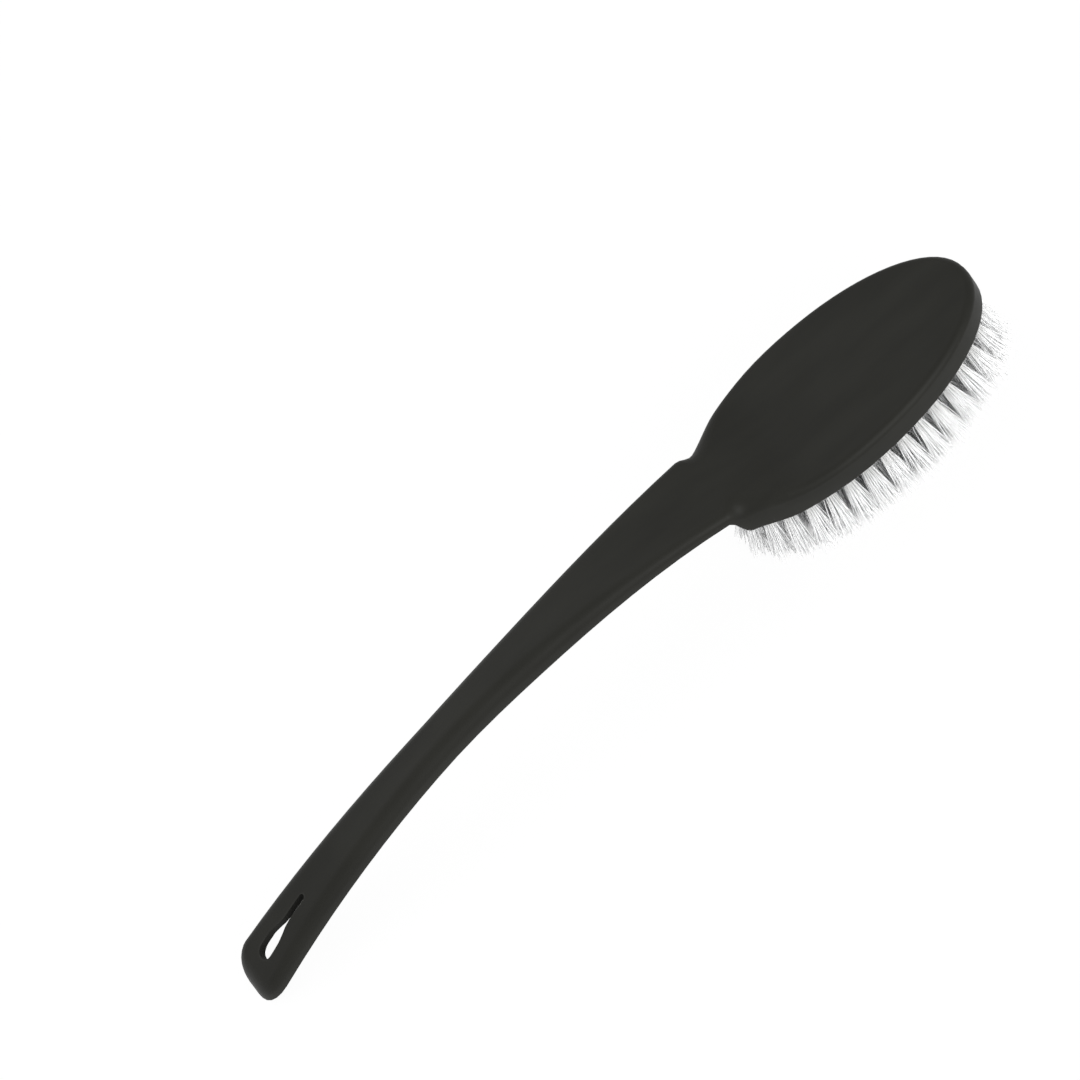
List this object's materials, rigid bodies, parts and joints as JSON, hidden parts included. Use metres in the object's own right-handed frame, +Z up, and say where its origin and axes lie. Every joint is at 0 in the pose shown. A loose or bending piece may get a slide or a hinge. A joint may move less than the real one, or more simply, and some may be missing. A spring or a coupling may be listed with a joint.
{
  "type": "bath brush",
  "caption": "Long-handled bath brush: flat oval head with white nylon bristle tufts on its underside, and a bowed black plastic handle with a hang slot near its end.",
  "frame": {"origin": "middle of the footprint, on the surface that the bristle tips and the handle's tail rest on", "axes": "+X from the handle's tail to the head's tip, +Z up out of the head's flat back, +Y to the left side"},
  "size_m": [0.3716, 0.0632, 0.0518],
  "materials": {
    "black_plastic": "satin moulded plastic, near black",
    "white_nylon": "white, slightly translucent nylon bristle"
  },
  "bodies": {
    "root": {"body": "black_plastic", "outer_tuft_01": "white_nylon", "outer_tuft_02": "white_nylon", "outer_tuft_03": "white_nylon", "outer_tuft_04": "white_nylon", "outer_tuft_05": "white_nylon", "outer_tuft_06": "white_nylon", "outer_tuft_07": "white_nylon", "outer_tuft_08": "white_nylon", "outer_tuft_09": "white_nylon", "outer_tuft_10": "white_nylon", "outer_tuft_11": "white_nylon", "outer_tuft_12": "white_nylon", "outer_tuft_13": "white_nylon", "outer_tuft_14": "white_nylon", "outer_tuft_15": "white_nylon", "outer_tuft_16": "white_nylon", "outer_tuft_17": "white_nylon", "outer_tuft_18": "white_nylon", "outer_tuft_19": "white_nylon", "outer_tuft_20": "white_nylon", "outer_tuft_21": "white_nylon", "outer_tuft_22": "white_nylon", "outer_tuft_23": "white_nylon", "outer_tuft_24": "white_nylon", "outer_tuft_25": "white_nylon", "outer_tuft_26": "white_nylon", "outer_tuft_27": "white_nylon", "outer_tuft_28": "white_nylon", "outer_tuft_29": "white_nylon", "outer_tuft_30": "white_nylon", "outer_tuft_31": "white_nylon", "outer_tuft_32": "white_nylon", "middle_tuft_01": "white_nylon", "middle_tuft_02": "white_nylon", "middle_tuft_03": "white_nylon", "middle_tuft_04": "white_nylon", "middle_tuft_05": "white_nylon", "middle_tuft_06": "white_nylon", "middle_tuft_07": "white_nylon", "middle_tuft_08": "white_nylon", "middle_tuft_09": "white_nylon", "middle_tuft_10": "white_nylon", "middle_tuft_11": "white_nylon", "middle_tuft_12": "white_nylon", "middle_tuft_13": "white_nylon", "middle_tuft_14": "white_nylon", "middle_tuft_15": "white_nylon", "middle_tuft_16": "white_nylon", "middle_tuft_17": "white_nylon", "inner_tuft_01": "white_nylon", "inner_tuft_02": "white_nylon", "inner_tuft_03": "white_nylon", "inner_tuft_04": "white_nylon", "inner_tuft_05": "white_nylon", "inner_tuft_06": "white_nylon", "inner_tuft_07": "white_nylon", "inner_tuft_08": "white_nylon", "inner_tuft_09": "white_nylon"}
  },
  "joints": []
}
